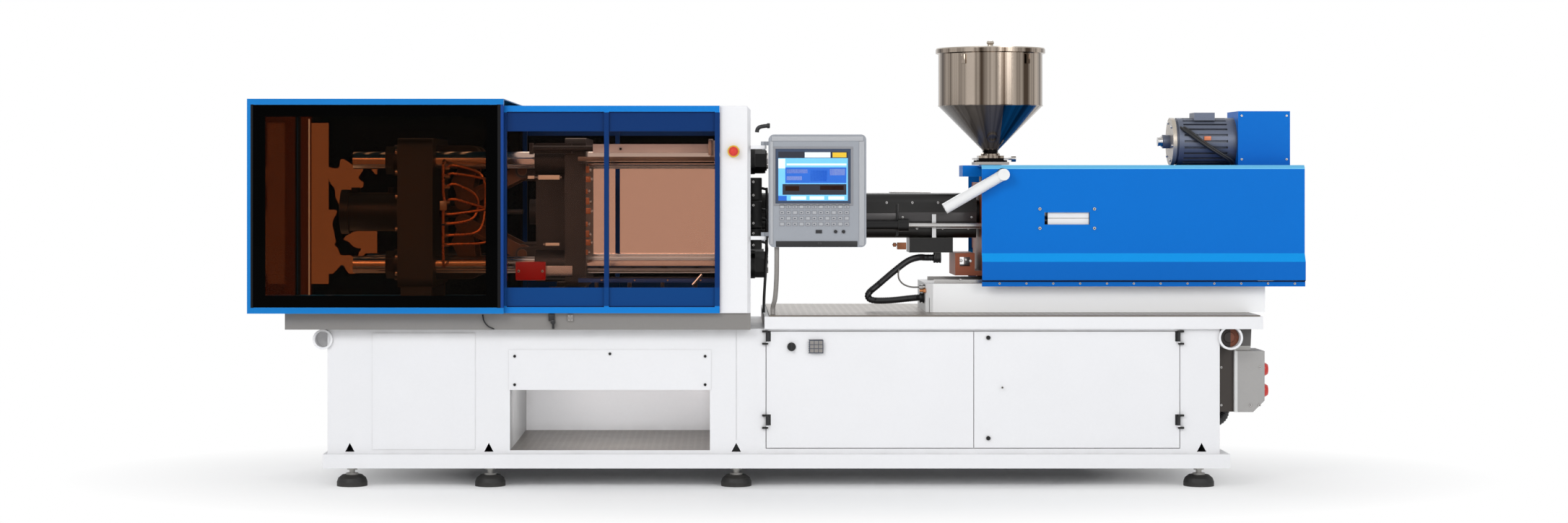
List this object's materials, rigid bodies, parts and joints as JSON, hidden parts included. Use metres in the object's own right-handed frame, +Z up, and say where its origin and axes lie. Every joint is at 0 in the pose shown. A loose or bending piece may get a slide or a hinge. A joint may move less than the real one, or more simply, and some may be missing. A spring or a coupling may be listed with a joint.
{
  "type": "injection moulding machine",
  "caption": "Horizontal plastic injection moulding machine: guarded toggle clamp, hopper-fed screw unit under a blue cover, control panel and white bed on levelling feet.",
  "frame": {"origin": "middle of the machine's box, on the floor under the feet", "axes": "+X along the machine towards the injection unit, -Y towards the operator, +Z up"},
  "size_m": [4.48, 1.24, 1.909],
  "materials": {
    "white_paint": "satin",
    "blue_paint": "satin",
    "grey_paint": "satin",
    "dark_casting": "satin",
    "link_casting": "satin",
    "black_steel": "satin",
    "black_plastic": "matte",
    "polished_steel": "polished",
    "bright_steel": "satin",
    "rubber_black": "matte",
    "amber_pane": "gloss",
    "clear_pane": "gloss",
    "screen_glass": "gloss",
    "panel_grey": "satin",
    "motor_grey": "satin",
    "white_plastic": "satin",
    "yellow_plastic": "gloss",
    "red_plastic": "gloss"
  },
  "bodies": {
    "bed": {"bed_frame": "white_paint", "levelling_feet": "rubber_black", "tread_plates": "bright_steel", "bed_panels": "white_paint", "bed_fasteners": "black_steel", "guard_rails": "grey_paint", "slide_ways": "bright_steel", "guard_frame": "blue_paint", "guard_panes": "amber_pane", "pillars": "white_paint", "estop_collar": "yellow_plastic", "fixed_platen": "dark_casting", "safety_beam": "white_paint", "tie_bars": "polished_steel", "tie_bar_nuts": "black_steel", "injection_base": "white_paint", "carriage_cylinders": "black_steel", "conduits": "black_plastic", "power_inlet": "grey_paint", "power_sockets": "red_plastic", "cabinet_gear": "grey_paint"},
    "operator_door": {"door_frame": "blue_paint", "door_panes": "clear_pane"},
    "rear_door": {"rear_door_frame": "blue_paint", "rear_door_panes": "clear_pane"},
    "left_cabinet_door": {"cabinet_door_left": "white_paint"},
    "right_cabinet_door": {"cabinet_door_right": "white_paint"},
    "main_switch": {"switch_knob": "black_plastic"},
    "upper_lock": {"lock_upper": "black_steel"},
    "lower_lock": {"lock_lower": "black_steel"},
    "emergency_button": {"estop_button": "red_plastic"},
    "control_panel": {"hmi_case": "panel_grey", "hmi_screen": "screen_glass"},
    "start_key": {"start_button": "black_plastic"},
    "stop_key": {"stop_button": "black_plastic"},
    "tail": {"tail_platen": "dark_casting", "clamp_cylinder": "black_steel", "die_nuts": "black_steel"},
    "clamp": {"moving_platen": "dark_casting"},
    "ejector": {"ejector_rods": "bright_steel"},
    "ram": {"crosshead": "dark_casting"},
    "rear_upper": {"rear_links_upper": "link_casting"},
    "rear_lower": {"rear_links_lower": "link_casting"},
    "front_upper": {"front_links_upper": "link_casting"},
    "front_lower": {"front_links_lower": "link_casting"},
    "cross_upper": {"cross_links_upper": "link_casting"},
    "cross_lower": {"cross_links_lower": "link_casting"},
    "injection_unit": {"injection_frame": "grey_paint", "barrel": "black_steel", "barrel_shroud": "black_steel", "injection_cover": "blue_paint", "belt_tower": "blue_paint", "drive_motor": "motor_grey", "hopper": "polished_steel", "hopper_lid": "polished_steel", "drain_tube": "white_plastic", "injection_cylinders": "bright_steel"},
    "gate": {"hopper_gate": "bright_steel"},
    "thrust": {"thrust_block": "dark_casting"},
    "plasticising_screw": {"screw": "bright_steel"}
  },
  "joints": [
    {"name": "operator_door_slide", "type": "slide", "parent": "bed", "child": "operator_door", "axis": [-1, 0, 0], "range_m": [0, 0.87]},
    {"name": "rear_door_slide", "type": "slide", "parent": "bed", "child": "rear_door", "axis": [-1, 0, 0], "range_m": [0, 0.87]},
    {"name": "left_door_hinge", "type": "hinge", "parent": "bed", "child": "left_cabinet_door", "pos_m": [-0.068, -0.51, 0.4], "axis": [0, 0, -1], "range_deg": [0, 110]},
    {"name": "right_door_hinge", "type": "hinge", "parent": "bed", "child": "right_cabinet_door", "pos_m": [1.665, -0.51, 0.4], "axis": [0, 0, 1], "range_deg": [0, 110]},
    {"name": "main_switch_turn", "type": "hinge", "parent": "left_cabinet_door", "child": "main_switch", "pos_m": [0.034, -0.5, 0.593], "axis": [0, -1, 0], "range_deg": [0, 90]},
    {"name": "upper_lock_turn", "type": "hinge", "parent": "right_cabinet_door", "child": "upper_lock", "pos_m": [0.863, -0.5, 0.631], "axis": [0, -1, 0], "range_deg": [0, 90]},
    {"name": "lower_lock_turn", "type": "hinge", "parent": "right_cabinet_door", "child": "lower_lock", "pos_m": [0.863, -0.5, 0.208], "axis": [0, -1, 0], "range_deg": [0, 90]},
    {"name": "emergency_press", "type": "slide", "parent": "bed", "child": "emergency_button", "axis": [0, 1, 0], "range_m": [0, 0.006], "stiffness_N_per_m": 800, "springref_m": -0.002},
    {"name": "panel_swing", "type": "hinge", "parent": "bed", "child": "control_panel", "pos_m": [-0.085, -0.57, 1.25], "axis": [0, 0, -1], "range_deg": [0, 90]},
    {"name": "start_press", "type": "slide", "parent": "control_panel", "child": "start_key", "axis": [0, 1, 0], "range_m": [0, 0.003], "stiffness_N_per_m": 400, "springref_m": -0.001},
    {"name": "stop_press", "type": "slide", "parent": "control_panel", "child": "stop_key", "axis": [0, 1, 0], "range_m": [0, 0.003], "stiffness_N_per_m": 400, "springref_m": -0.001},
    {"name": "mould_height", "type": "slide", "parent": "bed", "child": "tail", "axis": [-1, 0, 0], "range_m": [0, 0.1]},
    {"name": "clamp_stroke", "type": "slide", "parent": "tail", "child": "clamp", "axis": [1, 0, 0], "range_m": [0, 0.25417]},
    {"name": "ejector_stroke", "type": "slide", "parent": "clamp", "child": "ejector", "axis": [1, 0, 0], "range_m": [0, 0.05]},
    {"name": "ram_stroke", "type": "slide", "parent": "tail", "child": "ram", "axis": [1, 0, 0], "range_m": [0, 0.08738]},
    {"name": "rear_upper_turn", "type": "hinge", "parent": "tail", "child": "rear_upper", "pos_m": [-1.355, 0, 1.4], "axis": [0, -1, 0], "range_deg": [0, 96]},
    {"name": "rear_lower_turn", "type": "hinge", "parent": "tail", "child": "rear_lower", "pos_m": [-1.355, 0, 0.91], "axis": [0, 1, 0], "range_deg": [0, 96]},
    {"name": "front_upper_turn", "type": "hinge", "parent": "clamp", "child": "front_upper", "pos_m": [-1.12516, 0, 1.335], "axis": [0, 1, 0], "range_deg": [0, 38.85]},
    {"name": "front_lower_turn", "type": "hinge", "parent": "clamp", "child": "front_lower", "pos_m": [-1.12516, 0, 0.975], "axis": [0, -1, 0], "range_deg": [0, 38.85]},
    {"name": "cross_upper_turn", "type": "hinge", "parent": "ram", "child": "cross_upper", "pos_m": [-1.29546, 0, 1.23], "axis": [0, 1, 0], "range_deg": [0, 51.19]},
    {"name": "cross_lower_turn", "type": "hinge", "parent": "ram", "child": "cross_lower", "pos_m": [-1.29546, 0, 1.08], "axis": [0, -1, 0], "range_deg": [0, 51.19]},
    {"name": "injection_slide", "type": "slide", "parent": "bed", "child": "injection_unit", "axis": [1, 0, 0], "range_m": [0, 0.25]},
    {"name": "gate_slide", "type": "slide", "parent": "injection_unit", "child": "gate", "axis": [1, 0, 0], "range_m": [0, 0.05]},
    {"name": "screw_stroke", "type": "slide", "parent": "injection_unit", "child": "thrust", "axis": [1, 0, 0], "range_m": [0, 0.18]},
    {"name": "screw_spin", "type": "hinge", "parent": "thrust", "child": "plasticising_screw", "pos_m": [0, 0, 1.155], "axis": [1, 0, 0], "continuous": true}
  ],
  "couplings": [
    {"joint": "ram_stroke", "follows": "clamp_stroke", "ratio": 0.34379},
    {"joint": "rear_upper_turn", "follows": "clamp_stroke", "rad_per_m": 6.592},
    {"joint": "rear_lower_turn", "follows": "clamp_stroke", "rad_per_m": 6.592},
    {"joint": "front_upper_turn", "follows": "clamp_stroke", "rad_per_m": 2.6678},
    {"joint": "front_lower_turn", "follows": "clamp_stroke", "rad_per_m": 2.6678},
    {"joint": "cross_upper_turn", "follows": "clamp_stroke", "rad_per_m": 3.5153},
    {"joint": "cross_lower_turn", "follows": "clamp_stroke", "rad_per_m": 3.5153}
  ]
}
